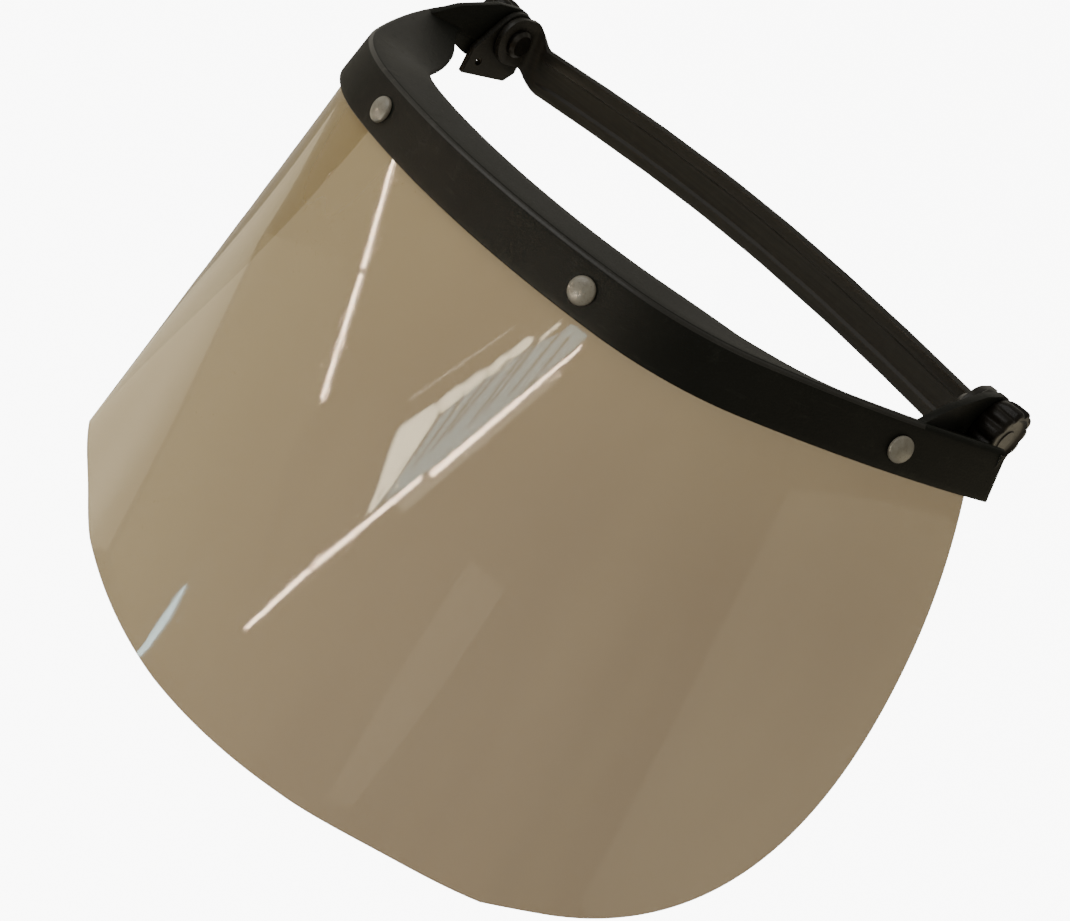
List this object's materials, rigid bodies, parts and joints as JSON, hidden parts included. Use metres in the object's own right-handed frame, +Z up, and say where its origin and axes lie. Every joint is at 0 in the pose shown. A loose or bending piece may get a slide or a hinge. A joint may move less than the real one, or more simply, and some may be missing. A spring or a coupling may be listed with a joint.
{
  "type": "helmet face shield",
  "caption": "Tinted visor riveted to a U-shaped plastic carrier that swings up on side knobs, with a rear strap that grips a helmet.",
  "frame": {"origin": "middle of the line that joins the two side pivots, where the helmet holds the part", "axes": "+Z up as worn, the wearer faces -Y, +X towards the wearer's left along the pivot line"},
  "size_m": [0.3248, 0.1787, 0.2064],
  "materials": {
    "carrier_black": "moulded, fine satin grain",
    "tinted_sheet": "clear grey-brown plastic sheet, glossy",
    "rivet_white": "off-white moulded plastic",
    "plate_grey": "dark grey moulded plastic",
    "bolt_steel": "plated steel",
    "knob_black": "black moulded plastic",
    "strap_black": "flexible black plastic, satin"
  },
  "bodies": {
    "harness": {"rear_strap": "strap_black", "side_plate_left": "plate_grey", "side_plate_right": "plate_grey", "pivot_bolt_left": "bolt_steel", "pivot_bolt_right": "bolt_steel"},
    "shield": {"carrier": "carrier_black", "visor": "tinted_sheet", "rivet_1": "rivet_white", "rivet_2": "rivet_white", "rivet_3": "rivet_white", "rivet_4": "rivet_white"},
    "knob_left_body": {"knob_left": "knob_black"},
    "knob_right_body": {"knob_right": "knob_black"}
  },
  "joints": [
    {"name": "shield_lift", "type": "hinge", "parent": "harness", "child": "shield", "pos_m": [0, 0, 0], "axis": [-1, 0, 0], "range_deg": [0, 90]},
    {"name": "knob_left_turn", "type": "hinge", "parent": "harness", "child": "knob_left_body", "pos_m": [0.128, 0, 0], "axis": [1, 0, 0], "continuous": true},
    {"name": "knob_right_turn", "type": "hinge", "parent": "harness", "child": "knob_right_body", "pos_m": [-0.128, 0, 0], "axis": [-1, 0, 0], "continuous": true}
  ]
}
